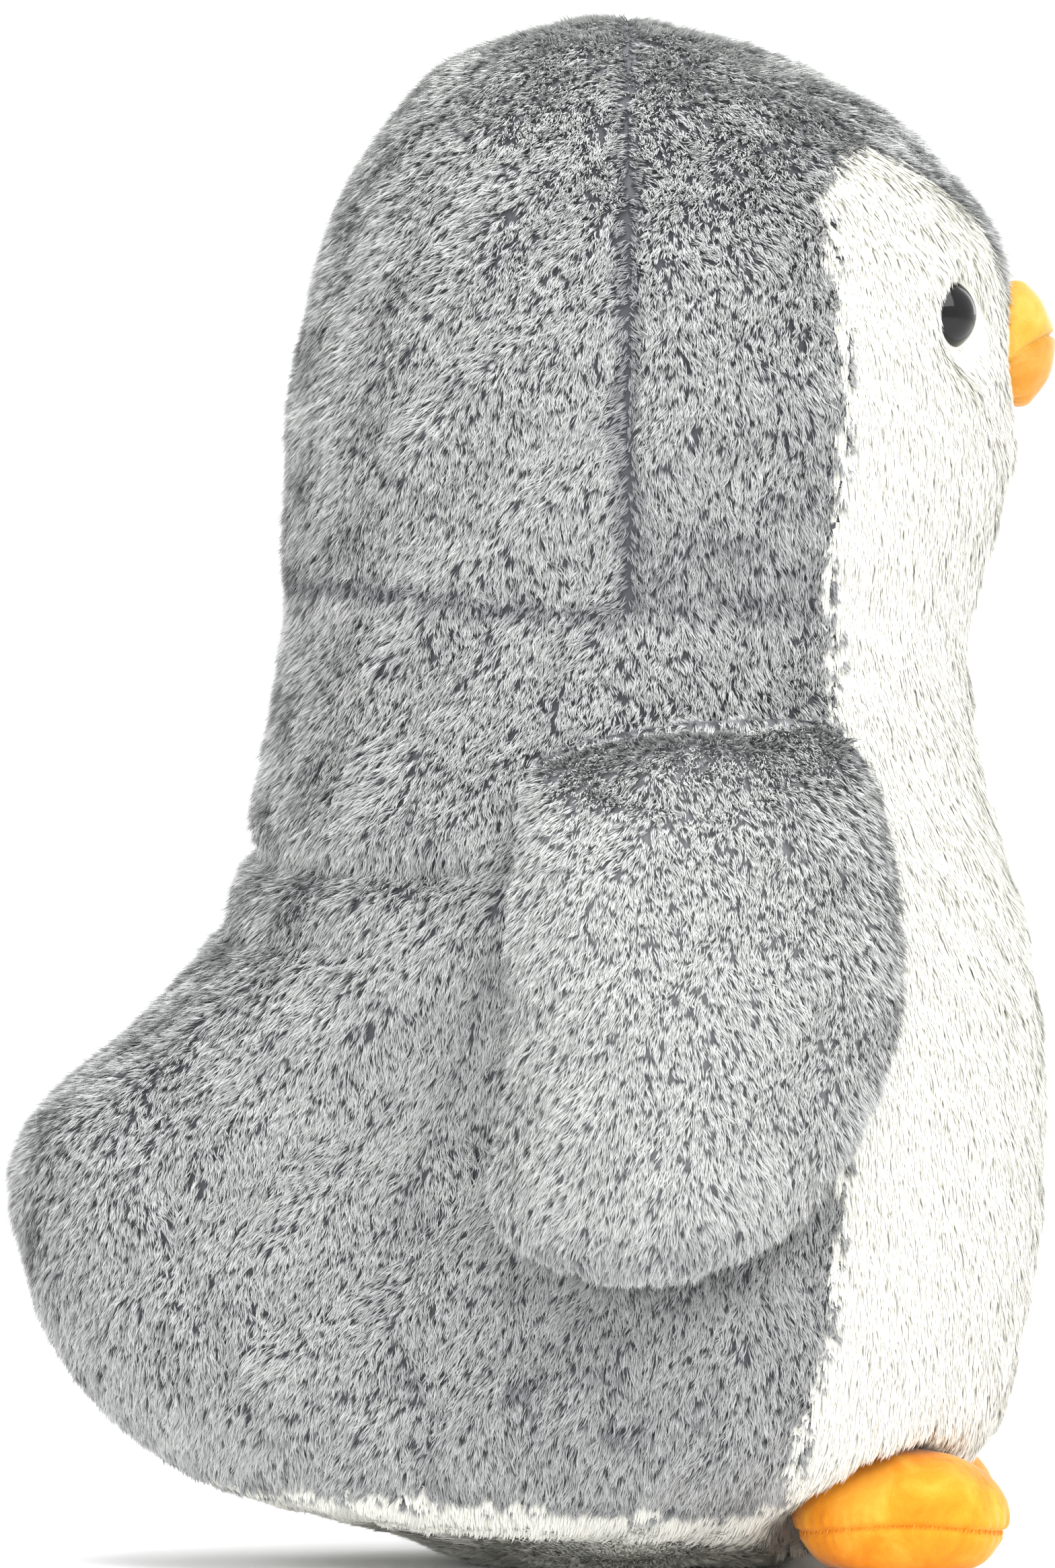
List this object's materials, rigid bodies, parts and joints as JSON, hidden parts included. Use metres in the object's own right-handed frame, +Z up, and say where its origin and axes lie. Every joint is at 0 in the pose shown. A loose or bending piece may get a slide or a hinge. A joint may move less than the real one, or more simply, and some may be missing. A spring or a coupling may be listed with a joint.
{
  "type": "plush penguin",
  "caption": "Standing stuffed penguin of grey and ivory plush with a thick tail, hinged side flippers, padded orange feet and a small soft beak.",
  "frame": {"origin": "on the floor, under the middle of the overall box", "axes": "+Z up, the penguin faces -Y, its left side is +X; X is the axis of symmetry and the shortest extent"},
  "size_m": [0.3206, 0.3442, 0.508],
  "materials": {
    "grey_plush": "matte",
    "ivory_plush": "matte",
    "yellow_velboa": "matte",
    "beak_orange_velboa": "matte",
    "orange_velboa": "matte",
    "eye_plastic": "gloss",
    "washer_plastic": "matte",
    "fibre_fill": "matte",
    "pouch_cloth": "matte",
    "pellet_plastic": "matte"
  },
  "bodies": {
    "penguin": {"head_back_left": "grey_plush", "head_back_right": "grey_plush", "head_side_left": "grey_plush", "head_side_right": "grey_plush", "forehead_gusset": "grey_plush", "face_left": "ivory_plush", "face_right": "ivory_plush", "beak_upper": "yellow_velboa", "beak_lower": "beak_orange_velboa", "beak_stuffing": "fibre_fill", "eye_left": "eye_plastic", "eye_right": "eye_plastic", "eye_washer_left": "washer_plastic", "eye_washer_right": "washer_plastic", "head_stuffing": "fibre_fill", "body_back_left": "grey_plush", "body_back_right": "grey_plush", "body_side_left": "grey_plush", "body_side_right": "grey_plush", "belly": "ivory_plush", "base": "ivory_plush", "body_stuffing": "fibre_fill", "tail_stuffing": "fibre_fill", "pellet_pouch": "pouch_cloth", "pellets": "pellet_plastic"},
    "flipper_left": {"flipper_left_outer": "grey_plush", "flipper_left_inner": "grey_plush", "flipper_left_stuffing": "fibre_fill"},
    "foot_left": {"foot_left_upper": "orange_velboa", "foot_left_sole": "orange_velboa", "foot_left_stuffing": "fibre_fill"},
    "flipper_right": {"flipper_right_outer": "grey_plush", "flipper_right_inner": "grey_plush", "flipper_right_stuffing": "fibre_fill"},
    "foot_right": {"foot_right_upper": "orange_velboa", "foot_right_sole": "orange_velboa", "foot_right_stuffing": "fibre_fill"}
  },
  "joints": [
    {"name": "flipper_left_lift", "type": "hinge", "parent": "penguin", "child": "flipper_left", "pos_m": [0.11862, -0.05598, 0.279], "axis": [-0.2027, -0.9792, 0], "range_deg": [0, 110]},
    {"name": "foot_left_droop", "type": "hinge", "parent": "penguin", "child": "foot_left", "pos_m": [0.058, -0.09413, 0.02125], "axis": [1, 0, 0], "range_deg": [0, 25]},
    {"name": "flipper_right_lift", "type": "hinge", "parent": "penguin", "child": "flipper_right", "pos_m": [-0.11862, -0.05598, 0.279], "axis": [-0.2027, 0.9792, 0], "range_deg": [0, 110]},
    {"name": "foot_right_droop", "type": "hinge", "parent": "penguin", "child": "foot_right", "pos_m": [-0.058, -0.09413, 0.02125], "axis": [1, 0, 0], "range_deg": [0, 25]}
  ]
}
